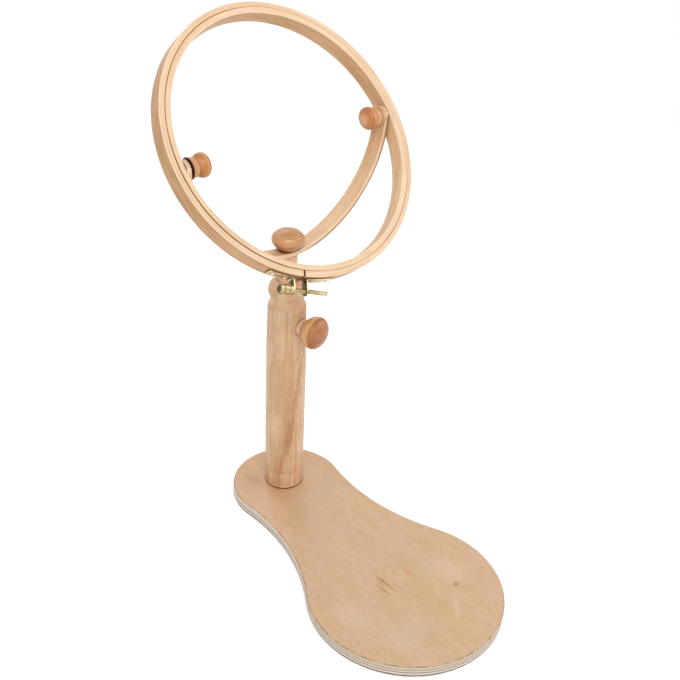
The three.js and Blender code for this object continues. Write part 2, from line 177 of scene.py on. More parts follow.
def tidyMesh(piece=None):
    if piece:
        edit(piece)
    bpy.ops.mesh.select_all(action="SELECT")
    bpy.ops.mesh.remove_doubles(threshold=0.01 * mm)
    bpy.ops.mesh.normals_make_consistent()
    bpy.ops.object.mode_set(mode="OBJECT")


def turnPiece(name, profile, steps):
    # profile: radius and height, turned about Z
    piece = drawLine(name, [(radius, 0, height) for radius, height in profile])
    bpy.ops.mesh.spin(steps=steps, angle=fullTurn, center=(0, 0, 0), axis=(0, 0, 1))
    tidyMesh()
    return piece


def drawStrip(name, line, across):
    # a line widened to a strip that has no thickness yet
    strip = drawLine(name, line)
    extrude(*across)
    tidyMesh()
    return strip


def curveTo(start, first, second, end, steps):
    # points of a bezier from start to end, without the start
    points = []
    for step in range(1, steps + 1):
        t = step / steps
        weights = ((1 - t) ** 3, 3 * t * (1 - t) ** 2, 3 * t * t * (1 - t), t ** 3)
        axes = zip(start, first, second, end)
        points.append(tuple(sum(w * value for w, value in zip(weights, axis)) for axis in axes))
    return points


def arc(centre, radius, startAngle, endAngle, steps):
    angles = [startAngle + (endAngle - startAngle) * step / steps for step in range(steps + 1)]
    return [(centre[0] + radius * math.cos(angle), centre[1] + radius * math.sin(angle)) for angle in angles]


def applyModifier(piece, kind, **settings):
    pick(piece)
    modifier = piece.modifiers.new(kind.lower(), kind)
    for name, value in settings.items():
        setattr(modifier, name, value)
    bpy.ops.object.modifier_apply(modifier=modifier.name)


def settle(piece, matrix=None):
    # the piece's place goes into its mesh
    if matrix is not None:
        piece.matrix_world = matrix @ piece.matrix_world
    bpy.context.view_layer.update()
    pick(piece)
    bpy.ops.object.transform_apply(location=True, rotation=True, scale=True)
    return piece


def cutWith(piece, cutter):
    applyModifier(piece, "BOOLEAN", operation="DIFFERENCE", solver="EXACT", object=cutter)
    clearSelection()
    bpy.data.objects.remove(cutter)


def bore(piece, radius, bottom, top, place=None, steps=32):
    # a round hole along Z, before it is placed; its ends may lie beyond the piece
    clearSelection()
    bpy.ops.mesh.primitive_cylinder_add(
        vertices=steps, radius=radius * mm, depth=(top - bottom) * mm,
        location=(0, 0, (top + bottom) / 2 * mm))
    cutWith(piece, settle(settle(bpy.context.object), place))


def sawSlot(piece, middle, size):
    clearSelection()
    bpy.ops.mesh.primitive_cube_add(size=1, location=[value * mm for value in middle])
    saw = bpy.context.object
    saw.scale = [value * mm for value in size]
    cutWith(piece, settle(saw))


def easeEdges(piece, width, segments, angle):
    applyModifier(piece, "BEVEL", width=width * mm, segments=segments, limit_method="ANGLE",
                  angle_limit=math.radians(angle))


def roundCorners(strip, thickness, radius, segments, isCorner):
    # the short edges at a flat strip's corners are bevelled round
    edit(strip)
    bpy.ops.mesh.select_mode(type="EDGE")
    bpy.ops.mesh.select_all(action="DESELECT")
    shape = bmesh.from_edit_mesh(strip.data)
    for edge in shape.edges:
        a, b = (vert.co for vert in edge.verts)
        if abs((a - b).length - thickness * mm) < 0.1 * mm and isCorner(a, b):
            edge.select = True
    bmesh.update_edit_mesh(strip.data)
    bpy.ops.mesh.bevel(offset=radius * mm, segments=segments)
    bpy.ops.mesh.select_mode(type="VERT")
    bpy.ops.object.mode_set(mode="OBJECT")


# how the grain runs on a piece, in metres: across, across and along, and the direction of its fibres

def straightGrain(point, middle):
    return (point.x, point.y, point.z), Vector((0, 0, 1))


def crossGrain(point, middle):
    # a knob is turned across the grain: its axis is Z, and its fibres run along X
    return (point.z, point.y, point.x), Vector((1, 0, 0))


def nearTurn(turn, base):
    # the same angle, within half a turn of the base
    return base + (turn - base + math.pi) % fullTurn - math.pi


def ringGrain(point, middle):
    # along the bent strip of a ring about Z, unwrapped from the middle of its face
    radius = hoop["meanRadius"] * mm
    turn = nearTurn(math.atan2(point.y, point.x), math.atan2(middle.y, middle.x))
    fibre = Vector((-middle.y, middle.x, 0)).normalized()
    return (math.hypot(point.x, point.y) - radius, point.z, radius * turn), fibre


def yokeGrain(point, middle):
    turn = nearTurn(math.atan2(point.z, point.x), math.atan2(middle.z, middle.x))
    fibre = Vector((-middle.z, 0, middle.x)).normalized()
    return (math.hypot(point.x, point.z), point.y, yoke["meanRadius"] * mm * turn), fibre


def markCorners(mesh, name, kind, key, values):
    mesh.attributes.new(name, kind, "CORNER")
    mesh.attributes[name].data.foreach_set(key, values)


def markGrain(piece, grainOf):
    mesh = piece.data
    normals = [normal.vector.copy() for normal in mesh.corner_normals]
    places, ends = [], []
    for face in mesh.polygons:
        for corner in face.loop_indices:
            point = mesh.vertices[mesh.loops[corner].vertex_index].co
            place, fibre = grainOf(point, face.center)
            places.extend(place)
            ends.append(normals[corner].dot(fibre) ** 2)
    markCorners(mesh, "grain", "FLOAT_VECTOR", "vector", places)
    markCorners(mesh, "endGrain", "FLOAT", "value", ends)


def markFaces(piece, name, valueOf):
    # a value at each corner of each face, from the corner's place and the face's normal
    mesh = piece.data
    markCorners(mesh, name, "FLOAT", "value", [
        valueOf(mesh.vertices[vertex].co, face.normal) for face in mesh.polygons for vertex in face.vertices])


def finishPiece(piece, body, nodes, material, matrix=None, grainOf=None, angle=38):
    pick(piece)
    bpy.ops.object.shade_smooth_by_angle(angle=math.radians(angle))
    if grainOf:
        markGrain(piece, grainOf)
    settle(piece, matrix)
    coat(piece, material)
    piece.data.name = piece.name
    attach(piece, body)
    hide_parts(*nodes)


def coat(piece, material):
    piece.data.materials.clear()
    piece.data.materials.append(material)


# finishes

def linear(red, green, blue):
    # a screen colour from 0 to 255 as the shader wants it
    values = [value / 255 for value in (red, green, blue)]
    return tuple(v / 12.92 if v <= 0.04045 else ((v + 0.055) / 1.055) ** 2.4 for v in values) + (1,)


def fill(node, inputs):
    # a value or a signal into each socket, by its name or number
    for key, value in inputs.items():
        if isinstance(value, Signal):
            value.tree.links.new(value.socket, node.inputs[key])
        else:
            node.inputs[key].default_value = value


def addNode(tree, kind, inputs=None, **settings):
    node = tree.nodes.new("ShaderNode" + kind)
    for name, value in settings.items():
        setattr(node, name, value)
    fill(node, inputs or {})
    return node


def addSignal(tree, kind, inputs=None, output=0, **settings):
    return Signal(tree, addNode(tree, kind, inputs, **settings).outputs[output])


def objectPlace(tree):
    return addSignal(tree, "TexCoord", output="Object")


def attribute(tree, name, output="Fac"):
    return addSignal(tree, "Attribute", output=output, attribute_name=name)


class Signal:
    # an output in a shader tree: each sum, mask or paint of it adds the node that works it out
    def __init__(self, tree, socket):
        self.tree, self.socket = tree, socket

    def maths(self, operation, *others):
        values = dict(enumerate((self, *others)))
        return addSignal(self.tree, "Math", values, operation=operation)

    def __add__(self, other):
        return self.maths("ADD", other)

    def __sub__(self, other):
        return self.maths("SUBTRACT", other)

    def __mul__(self, other):
        return self.maths("MULTIPLY", other)

    def __truediv__(self, other):
        return self.maths("DIVIDE", other)

    def __abs__(self):
        return self.maths("ABSOLUTE")

    def atLeast(self, other):
        return self.maths("MAXIMUM", other)

    def length(self):
        return addSignal(self.tree, "VectorMath", {0: self}, "Value", operation="LENGTH")

    def axis(self, letter):
        return addSignal(self.tree, "SeparateXYZ", {0: self}, letter)

    def stretched(self, scale, shift=(0, 0, 0), turn=(0, 0, 0), kind="POINT"):
        values = {"Vector": self, "Location": shift, "Rotation": turn, "Scale": scale}
        return addSignal(self.tree, "Mapping", values, vector_type=kind)

    def noise(self, scale, detail, roughness, distortion=0):
        return addSignal(self.tree, "TexNoise", {
            "Vector": self, "Scale": scale, "Detail": detail, "Roughness": roughness,
            "Distortion": distortion}, "Fac")

    def ranged(self, low, high, toLow=0, toHigh=1, kind="SMOOTHSTEP"):
        return addSignal(self.tree, "MapRange", {
            "Value": self, "From Min": low, "From Max": high, "To Min": toLow, "To Max": toHigh},
            "Result", interpolation_type=kind)

    def within(self, low, high, *amounts):
        # as ranged, with low and high in millimetres
        return self.ranged(low * mm, high * mm, *amounts)

    def band(self, middle, half, soft, amount=1):
        # a mask that is the amount within half of the middle and fades out over soft, in millimetres
        return abs(self - middle * mm).within(half, half + soft, amount, 0)

    def blended(self, mask, other, mode="MIX"):
        values = {0: mask, 6: self, 7: other}
        return addSignal(self.tree, "Mix", values, 2, data_type="RGBA", blend_type=mode)

    def painted(self, mask, tone, mode="MIX"):
        return self.blended(mask, linear(*tone), mode)

    def between(self, first, second):
        # from the first tone at 0 to the second at 1
        values = {0: self, 6: linear(*first), 7: linear(*second)}
        return addSignal(self.tree, "Mix", values, 2, data_type="RGBA")

    def bumped(self, strength, depth):
        values = {"Height": self, "Strength": strength, "Distance": depth * mm}
        return addSignal(self.tree, "Bump", values, "Normal")


woodSockets = (
    ("INPUT", "Vector", ("Vector",)), ("INPUT", "Color", ("Pale", "Deep", "Fleck", "End")),
    ("INPUT", "Float", ("Layers", "Clouds", "Fibres", "Flecks", "End Mask")),
    ("OUTPUT", "Color", ("Color",)), ("OUTPUT", "Float", ("Height", "Wear")),
)


def woodGroup():
    # growth layers, soft clouds, fine fibres and short flecks of beech, with Z along the grain
    group = bpy.data.node_groups.new("beechFigure", "ShaderNodeTree")
    for side, kind, names in woodSockets:
        for name in names:
            group.interface.new_socket(name=name, in_out=side, socket_type="NodeSocket" + kind)
    start = group.nodes.new("NodeGroupInput")
    given = {socket.name: Signal(group, socket) for socket in start.outputs}
    vector = given["Vector"]
    layers = vector.stretched((1, 0.3, 0.05)).noise(330, 3, 0.55, 0.5)
    clouds = vector.stretched((1, 1, 0.4)).noise(55, 3, 0.55, 0.5)
    fibres = vector.stretched((1, 1, 0.06)).noise(1500, 2, 0.6)
    flecks = vector.stretched((1, 1, 0.25)).noise(1100, 1, 0.4)
    tone = layers.ranged(0.34, 0.68) * given["Layers"] + clouds.ranged(0.33, 0.7) * given["Clouds"]
    total = (tone + fibres.ranged(0.3, 0.72) * given["Fibres"]).maths("MINIMUM", 1)
    colour = given["Pale"].blended(total, given["Deep"])
    colour = colour.blended(flecks.ranged(0.62, 0.76) * given["Flecks"], given["Fleck"])
    colour = colour.blended(given["End Mask"] * layers.ranged(0.2, 0.7, 0.75, 1), given["End"])
    height = fibres * 0.6 + layers * 0.4
    fill(group.nodes.new("NodeGroupOutput"), {"Color": colour, "Height": height, "Wear": total})


def newMaterial(name):
    material = bpy.data.materials.new(name)
    material.use_nodes = True
    tree = material.node_tree
    return material, tree, tree.nodes["Principled BSDF"]


def woodMaterial(name, look, extra=None, **changes):
    look = dict(look, **changes)
    material, tree, shader = newMaterial(name)
    place = attribute(tree, "grain", "Vector")
    values = {"Vector": place.stretched((1, 1, 1), look["shift"]), "End Mask": attribute(tree, "endGrain")}
    values |= {name.capitalize(): linear(*look[name]) for name in ("pale", "deep", "fleck", "end")}
    values |= {name.capitalize(): look[name] for name in ("layers", "clouds", "fibres", "flecks")}
    wood = addNode(tree, "Group", values, node_tree=bpy.data.node_groups["beechFigure"])
    colour, height, wear = (Signal(tree, socket) for socket in wood.outputs)
    fill(shader, {
        "Base Color": extra(colour, place) if extra else colour,
        "Roughness": wear.ranged(0, 1, *look["rough"], "LINEAR"),
        "Coat Weight": look["coat"], "Coat Roughness": look["coatRough"],
        "Normal": height.bumped(look["bump"], 0.15)})
    return material


hoopWood = {
    "pale": (244, 212, 177), "deep": (218, 177, 134), "fleck": (196, 150, 106), "end": (228, 192, 156),
    "layers": 0.45, "clouds": 0.4, "fibres": 0.22, "flecks": 0.35, "shift": (0.31, 0.12, 0.7),
    "rough": (0.42, 0.55), "coat": 0, "coatRough": 0.3, "bump": 0.25,
}
# tones of the bent strips: painted shade on the wide faces, a painted highlight on the corners, the lines
# between their layers, and painted shadow
stripWood = {
    "tan": (219, 207, 183), "pink": (228, 207, 187), "corner": (253, 234, 210), "layer": (208, 168, 118),
    "shadow": (116, 74, 40), "streak": (206, 178, 146),
}
postWood = {
    "pale": (233, 200, 164), "deep": (204, 162, 122), "fleck": (172, 126, 86), "end": (198, 152, 112),
    "layers": 0.6, "clouds": 0.6, "fibres": 0.4, "flecks": 0.5, "shift": (0.11, 0.42, 0.3),
    "rough": (0.4, 0.5), "coat": 0.12, "coatRough": 0.3, "bump": 0.2,
}
# tones of the knobs' figure, laid over the tone of each length of a knob
knobWood = {
    "pale": (264, 264, 262), "deep": (222, 204, 186), "fleck": (196, 164, 138), "end": (232, 216, 200),
    "layers": 0.7, "clouds": 0.5, "fibres": 0.35, "flecks": 0.4,
    "rough": (0.34, 0.46), "coat": 0.3, "coatRough": 0.2, "bump": 0.12,
    "line": (150, 92, 52),
}


# seat board

seatBoard = {
    "thickness": 12, "edgeRound": 1.2, "smallRadius": 56, "smallY": -7, "largeRadius": 91, "largeY": -196,
    "waistRadius": 198, "endSteps": 48, "waistSteps": 24,
    "screwSide": 13, "screwRadius": 4.2, "screwDepth": 0.8,
    "pink": (213, 178, 147), "yellow": (208, 176, 136), "deep": (190, 152, 114), "grey": (200, 179, 158),
    "farShade": (198, 150, 106), "fleck": (172, 130, 92), "contactShadow": (140, 92, 56), "rim": (134, 102, 78),
    "whitePly": (240, 232, 222), "streak": (208, 168, 122),
    # the plies from bottom to top; the dark lowest band is partly painted shade under the rounded bottom edge
    "edge": ((0, (74, 64, 60)), (0.17, (98, 86, 80)), (0.21, (236, 222, 212)), (0.37, (226, 210, 200)),
             (0.4, (122, 102, 90)), (0.46, (130, 110, 98)), (0.49, (236, 224, 210)), (0.6, (222, 208, 190)),
             (0.63, (140, 116, 98)), (0.67, (146, 122, 104)), (0.7, (214, 202, 180)), (0.9, (198, 186, 160)),
             (1, (206, 182, 152))),
}
# the face veneer's figure: stretch, shift, noise, the range that shows and how much, and tone
boardFigure = (
    ((1, 0.35, 1), (0.3, 0.1, 0), (85, 4, 0.65, 0.8), (0.42, 0.76, 0, 0.34), "deep"),
    ((1, 0.55, 1), (0.8, 0.5, 0), (190, 3, 0.7, 0.4), (0.44, 0.7, 0, 0.28), "deep"),
    ((1, 0.1, 1), (0.2, 0.7, 0), (130, 3, 0.6), (0.46, 0.7, 0, 0.5), "streak"),
    ((1, 0.8, 1), (0.4, 0.2, 0), (15, 4, 0.7), (0.5, 0.7, 0, 0.6), "grey"),
    ((1, 0.07, 1), (0, 0, 0), (900, 3, 0.65), (0.35, 0.75, 0, 0.2), "deep"),
    ((1, 0.6, 1), (0, 0, 0), (420, 3, 0.65), (0.48, 0.72, 0, 0.2), "fleck"),
)
# marks in the veneer, and one painted shadow beside the post: middle, half width and half length, turn,
# amount and tone
boardMarks = (
    ((-10.5, -179.5), (2.2, 15), 7, 0.85, (180, 118, 68)),
    ((-14.2, -178), (1.7, 10), 9, 0.6, (188, 132, 84)),
    ((-17.5, -184), (2.2, 12), 8, 0.7, (184, 126, 76)),
    ((-4, -188), (1.4, 7), 10, 0.5, (194, 140, 96)),
    ((16, -183), (3.2, 11), 9, 0.55, (204, 146, 106)),
    ((4.2, -192), (1.6, 5), 7, 0.45, (182, 144, 108)),
    ((3.6, -211), (1.6, 6), 12, 0.4, (184, 148, 110)),
    ((42.8, -218.4), (3.4, 3.4), 0, 0.95, (160, 118, 84)),
    ((26, -210), (1.6, 15), -25, 0.35, (228, 204, 176)),
    ((23, -241), (4, 18), -38, 0.3, (226, 202, 178)),
    ((-38.9, -55), (11, 26), 20, 0.35, (206, 154, 110)),
    ((-17, -22), (18, 20), 0, 0.4, (198, 148, 106)),
    ((-60, -196), (16, 30), 12, 0.35, (214, 192, 172)),
    ((-33, -239), (30, 22), 30, 0.4, (204, 184, 164)),
    # painted shadow of the post, to its left
    ((-28, 12), (10, 18), 10, 0.6, (180, 140, 106)),
    ((50, -202), (20, 26), 20, 0.28, (230, 200, 170)),
)


def boardOutline():
    # two round ends and the two hollow sides that touch both
    b = seatBoard
    smallY, largeY, waist, half = b["smallY"], b["largeY"], b["waistRadius"], math.pi
    fromSmall, fromLarge, span = b["smallRadius"] + waist, b["largeRadius"] + waist, smallY - largeY
    along = (fromSmall ** 2 - fromLarge ** 2 + span ** 2) / (2 * span)
    x, y = math.sqrt(fromSmall ** 2 - along ** 2), smallY - along
    small, large = math.atan2(y - smallY, x), math.atan2(y - largeY, x)
    return (arc((0, smallY), b["smallRadius"], small, half - small, b["endSteps"])[:-1]
            + arc((-x, y), waist, -small, -large, b["waistSteps"])[:-1]
            + arc((0, largeY), b["largeRadius"], half - large, fullTurn + large, b["endSteps"])[:-1]
            + arc((x, y), waist, half + large, half + small, b["waistSteps"])[:-1])


def boardFace(place):
    # face veneer: a slow drift of tone, the figure, painted shade towards the far end, and the marks
    b = seatBoard
    drift = place.stretched((1, 0.6, 1)).noise(26, 4, 0.65, 0.6)
    face = drift.ranged(0.38, 0.64).between(b["pink"], b["yellow"])
    for stretch, shift, pattern, shown, tone in boardFigure:
        face = face.painted(place.stretched(stretch, shift).noise(*pattern).ranged(*shown), b[tone])
    # painted shade: the far end is darker, where less light falls
    plain = face.painted(place.axis("Y").ranged(-0.09, 0.03, 0, 0.42), b["farShade"])
    marked = plain
    ragged = place.stretched((1, 0.3, 1)).noise(480, 2, 0.6) * 0.7
    for (x, y), (width, length), turn, amount, tone in boardMarks:
        local = place.stretched(
            (width * mm, length * mm, 1), (x * mm, y * mm, 0), (0, 0, math.radians(turn)), "TEXTURE")
        marked = marked.painted((local.length() + ragged).ranged(0.55, 1.4, amount, 0), tone)
    # a painted contact shadow under the foot of the post
    fromPost = place.stretched((1, 1, 0)).length()
    marked = marked.painted(fromPost.band(post["radius"] - 1.2, 1.2, 0.7), b["contactShadow"])
    # the underside has neither the marks nor the painted shadow under the post
    return plain.blended(place.axis("Z").within(0.4 * b["thickness"], 0.6 * b["thickness"]), marked)


def rampOf(value, stops):
    node = addNode(value.tree, "ValToRGB", {"Fac": value})
    points = node.color_ramp.elements
    while len(points) < len(stops):
        points.new(0.5)
    for point, (position, tone) in zip(points, stops):
        point.position = position
        point.color = linear(*tone)
    return Signal(value.tree, node.outputs["Color"])


def boardMaterial():
    b = seatBoard
    material, tree, shader = newMaterial("varnishedPly")
    place = objectPlace(tree)
    # plies on the edge, by height, their lines wavering and ragged, with painted shade at the bottom
    height = place.axis("Z")
    waver = (place.noise(60, 3, 0.6) - 0.5) * (0.7 * mm)
    chips = place.stretched((1, 1, 0.5), (0.1, 0.9, 0)).noise(330, 3, 0.7) - 0.5
    upper = height.within(0.55 * b["thickness"], 0.9 * b["thickness"], 0.4, 3.6)
    level = height + waver + chips * (upper * mm)
    ply = rampOf(level / (b["thickness"] * mm), b["edge"])
    rough = place.stretched((1, 1, 2.5)).noise(520, 3, 0.65)
    ply = ply.painted(rough.ranged(0.4, 0.75, 0, 0.22), b["deep"])
    gaps = place.stretched((1, 1, 0.3), (0.7, 0, 0)).noise(90, 2, 0.6)
    ply = ply.painted(gaps.ranged(0.52, 0.68, 0, 0.35), b["grey"])
    # the ply below the veneer is paler where the board is narrow
    narrow = place.axis("Y").ranged(-0.17, -0.09, 0, 0.75)
    ply = ply.painted(level.band(0.78 * b["thickness"], 0.8, 0.7) * narrow, b["whitePly"])
    # the veneer's cut corner is darker, here and there
    upright = abs(addSignal(tree, "NewGeometry", output="Normal").axis("Z"))
    dashes = place.stretched((1, 1, 0), (0.3, 0.3, 0)).noise(120, 3, 0.6)
    ply = ply.painted(upright.ranged(0.3, 0.7) * dashes.ranged(0.46, 0.56, 0.3, 1), b["rim"])
    flat = upright.ranged(0.86, 0.97)
    fine = place.stretched((1, 0.07, 1)).noise(900, 3, 0.65)
    fill(shader, {
        "Base Color": ply.blended(flat, boardFace(place)),
        "Roughness": flat.ranged(0, 1, 0.62, 0.42, "LINEAR"), "Coat Weight": 0.1, "Coat Roughness": 0.35,
        "Normal": (fine + rough * 0.5).bumped(0.15, 0.15)})
    return material


def makeBoard():
    b = seatBoard
    board = drawLine("board", [(x, y, 0) for x, y in boardOutline()])
    bpy.ops.mesh.edge_face_add()
    extrude(0, 0, b["thickness"])
    tidyMesh()
    easeEdges(board, b["edgeRound"], 3, 60)
    for side in (-1, 1):
        bore(board, b["screwRadius"], -1, b["screwDepth"], moved(side * b["screwSide"], 0, 0))
    finishPiece(board, "stand", ["seat_board"], boardMaterial(), angle=50)


# post and rod

post = {
    "radius": 19.45, "foot": 12, "footRound": 1.6, "grooveHeight": 31, "grooveDepth": 0.4, "grooveHalf": 1.2,
    "taper": 165, "shoulderRadius": 18.4, "shoulder": 217.5, "neckRadius": 16, "neck": 226.5,
    "beadRadius": 18, "bead": 235, "top": 245, "bore": 9.4, "boreFloor": 38, "boreEdge": 0.5,
    "insertHole": 5.2, "holeReach": 30, "steps": 96,
}
rod = {
    "radius": 9, "foot": 48, "top": 271.6, "edge": 1, "studHole": 3.2, "holeFloor": 244.5, "steps": 64,
}
# the darker streak that climbs round the post, with a fainter one beside it, and the tones of the painted
# shade in the groove, the pale rim and the painted contact shadow at the foot
postStreak = {
    "angle": -86.7, "height": 0.136, "climb": 462, "width": 0.15, "waver": 0.9, "beside": 0.34,
    "colour": (186, 138, 98), "groove": (190, 138, 94), "contactShadow": (136, 86, 50), "rim": (242, 210, 178),
}


def postLook(colour, vector):
    s = postStreak
    place = objectPlace(colour.tree)
    height = place.axis("Z")
    turn = place.axis("Y").maths("ARCTAN2", place.axis("X"))
    away = turn - (height - s["height"]) * math.radians(s["climb"]) - math.radians(s["angle"])
    away += (place.stretched((1, 1, 0.25)).noise(110, 4, 0.65) - 0.5) * s["waver"]
    near = abs(away).ranged(0, s["width"] * 1.8, 1, 0)
    second = abs(away + s["beside"]).ranged(0, s["width"], 0.4, 0)
    patches = place.stretched((1, 1, 0.5), (0.3, 0, 0.1)).noise(70, 2, 0.5)
    colour = colour.painted(near.atLeast(second) * patches.ranged(0.3, 0.65, 0.55, 0.95), s["colour"])
    # painted shade in the groove near the foot, the pale rim of the foot and a painted contact shadow under
    # it
    colour = colour.painted(height.band(post["grooveHeight"], 0.4, 1.2, 0.4), s["groove"])
    colour = colour.painted(height.band(post["foot"] + 2.2, 0.5, 0.6, 0.5), s["rim"])
    return colour.painted(height.band(post["foot"], 0.9, 0.7), s["contactShadow"])


def postProfile():
    p = post
    radius, foot, edge = p["radius"], p["foot"], p["footRound"]
    line = [(0, foot), (radius - edge, foot)]
    line += curveTo(line[-1], (radius - edge / 2, foot), (radius, foot + edge / 2), (radius, foot + edge), 5)
    for along, depth in ((-1, 0), (-0.6, 0.25), (0, 1), (0.6, 0.25), (1, 0)):
        line.append((radius - depth * p["grooveDepth"], p["grooveHeight"] + along * p["grooveHalf"]))
    line += [(radius, 60), (radius, 100), (radius, 140), (radius, p["taper"])]
    line.append((p["shoulderRadius"], p["shoulder"]))
    for low, high, steps in (("shoulder", "neck", 10), ("neck", "bead", 8)):
        middle = (p[low] + p[high]) / 2
        line += curveTo(line[-1], (p[low + "Radius"], middle), (p[high + "Radius"], middle),
                        (p[high + "Radius"], p[high]), steps)
    line += curveTo(line[-1], (p["beadRadius"], (p["bead"] + 2 * p["top"]) / 3),
                    ((p["beadRadius"] + p["bore"]) / 2, p["top"]), (p["bore"] + p["boreEdge"], p["top"]), 10)
    return line + [(p["bore"], p["top"] - p["boreEdge"]), (p["bore"], p["boreFloor"]), (0, p["boreFloor"])]


def makePost():
    body = turnPiece("post", postProfile(), post["steps"])
    bore(body, clampKnob["recess"], clampKnob["seat"], post["holeReach"], clampFrame, 64)
    bore(body, post["insertHole"], 0, post["holeReach"], clampFrame)
    wood = woodMaterial("turnedBeech", postWood, postLook)
    finishPiece(body, "stand", ["outer_post"], wood, grainOf=straightGrain)
    radius, foot, top, edge = (rod[name] for name in ("radius", "foot", "top", "edge"))
    profile = [(radius, height) for height in (foot + edge, 100, 160, 220, top - edge)]
    profile = [(0, foot), (radius - edge, foot)] + profile + [(radius - edge, top), (0, top)]
    piece = turnPiece("rod", profile, rod["steps"])
    bore(piece, rod["studHole"], rod["holeFloor"], 280)
    wood = woodMaterial("rodBeech", postWood, shift=(0.5, 0.2, 0.9))
    finishPiece(piece, "rod", ["inner_rod"], wood, grainOf=straightGrain)


# hoop

hoop = {
    "pivot": 380.3, "swivel": 6.2, "tilt": 49.9, "width": 16.5, "innerRadius": 114.5, "innerWall": 5.3,
    "gap": 0.08, "outerWall": 5.12, "edge": 1, "seamEdge": 0.25, "split": 1.1, "closureTurn": 24.2,
    "boltHole": 2.7, "headHole": 4.8, "headSeat": 116.6, "meanRadius": 120, "steps": 200,
}
# the line where the two rings meet, and the angles where it is widest, shows low and high, and is closed
seam = {
    "at": -0.16, "half": 0.26, "soft": 0.42, "widest": 203, "least": 0.22, "low": 305, "high": 128,
    "closed": 5, "pale": (190, 130, 66), "dark": (92, 42, 0),
}
yokeFrame = moved(0, 0, hoop["pivot"]) @ turned(hoop["swivel"], "Z")
hoopFrame = yokeFrame @ turned(hoop["tilt"], "X")
closureFrame = hoopFrame @ turned(-hoop["closureTurn"], "Z")


def ringProfile(inner, outer, innerEdge, outerEdge):
    # the section of a flat ring with eased corners
    half = hoop["width"] / 2
    line = []
    for index, corner in enumerate(((outer, half), (inner, half), (inner, -half), (outer, -half))):
        radius, height = corner
        edge, towards = (outerEdge, -1) if radius == outer else (innerEdge, 1)
        along = (radius, height - math.copysign(edge, height))
        across = (radius + towards * edge, height)
        start, end = (along, across) if index in (0, 2) else (across, along)
        first, second = (tuple(0.45 * a + 0.55 * b for a, b in zip(spot, corner)) for spot in (start, end))
        line += [start] + curveTo(start, first, second, end, 3)
    return line + line[:1]


def stripFaces(colour, vector, width, amount, layers, corners=0.6):
    # a bent strip: painted shade on the wide faces over their mottle, a painted highlight along the corners,
    # and faint broken lines between its layers
    s = stripWood
    half = width / 2
    across = abs(vector.axis("Y"))
    mottle = vector.stretched((1, 1, 0.35), (0.2, 0.6, 0.1)).noise(140, 3, 0.65)
    streaks = vector.stretched((1, 1, 0.09), (0.5, 0.1, 0.3)).noise(420, 3, 0.6)
    shade = mottle.ranged(0.35, 0.65).between(s["tan"], s["pink"])
    shade = shade.painted(streaks.ranged(0.5, 0.72, 0, 0.7), s["streak"], "MULTIPLY")
    # painted shade on the wide faces, by the amount
    wide = colour.blended(amount, shade, "MULTIPLY")
    colour = wide.blended(across.within(half - 1.1, half - 0.5), colour)
    breaks = mottle.ranged(0.4, 0.6, 0.25, 1)
    for depth in layers:
        colour = colour.painted(vector.axis("X").band(depth, 0.15, 0.35, 0.35) * breaks, s["layer"])
    # painted highlight along the corners
    return colour.painted(across.band(half - 0.5, 0.2, 0.4, corners), s["corner"])


def facing(vector, angle):
    # 1 on the ring's part at the angle, and less the further away
    around = vector.axis("Z") / (hoop["meanRadius"] * mm)
    return (around - math.radians(angle)).maths("COSINE")


def seamOn(colour, vector, turn):
    # a dark line where the rings meet
    s = seam
    amount = facing(vector, s["widest"] + turn).ranged(0.55, 0.98, s["least"], 1)
    low = facing(vector, s["low"] + turn).ranged(0.94, 0.985)
    high = facing(vector, s["high"] + turn).ranged(0.62, 0.88)
    shown = facing(vector, s["closed"] + turn).ranged(0.788, 0.906, 1, 0.12)
    width = amount.atLeast(high * 0.75).ranged(0.3, 1, 0.6, 1.15)
    line = (abs(vector.axis("X") - s["at"] * mm) / width).within(s["half"], s["half"] + s["soft"], 1, 0)
    strength = amount.ranged(0.2, 0.6, 0.6, 1).atLeast(low.atLeast(high))
    # only on the narrow faces, so that the walls between the rings stay clean
    half = hoop["width"] / 2
    narrow = abs(vector.axis("Y")).within(half - 1.3, half - 0.7)
    tone = amount.atLeast(low).between(s["pale"], s["dark"])
    return colour.blended(line * strength * shown * narrow, tone)


def innerRingLook(colour, vector):
    # less painted shade on its wide faces below the right pivot, as painted light there
    amount = facing(vector, -40).ranged(0.5, 0.86, 0.85, 0.1)
    colour = stripFaces(colour, vector, hoop["width"], amount, (-3.7, -1.9))
    return seamOn(colour, vector, 0)


def outerRingLook(colour, vector):
    # the seam, the split with painted shade in its notch in front, and a painted shadow line round the
    # brackets
    h = hoop
    colour = stripFaces(colour, vector, h["width"], 1, (1.3, 2.7, 4))
    colour = seamOn(colour, vector, h["closureTurn"])
    across = abs(vector.axis("Y"))
    fromSplit = abs(vector.axis("Z") + h["meanRadius"] * math.pi / 2 * mm)
    front = across.within(h["width"] / 2 - 1.2, h["width"] / 2 - 0.6, 0.55, 1)
    # painted shade in the split's notch on the front faces
    colour = colour.painted(fromSplit.band(0, h["split"] / 2 + 0.15, 0.5) * front, seam["dark"])
    wide, reach = closure["width"] / 2, closure["reach"] * h["meanRadius"] / outerRadius
    # painted shadow round the brackets on the ring's outer face
    strip = across.within(wide + 0.4, wide + 1.2, 1, 0) * fromSplit.within(reach + 0.2, reach + 1, 1, 0)
    outside = vector.axis("X").within(4.5, 4.8, 0, 0.8)
    return colour.painted(strip * outside, stripWood["shadow"])


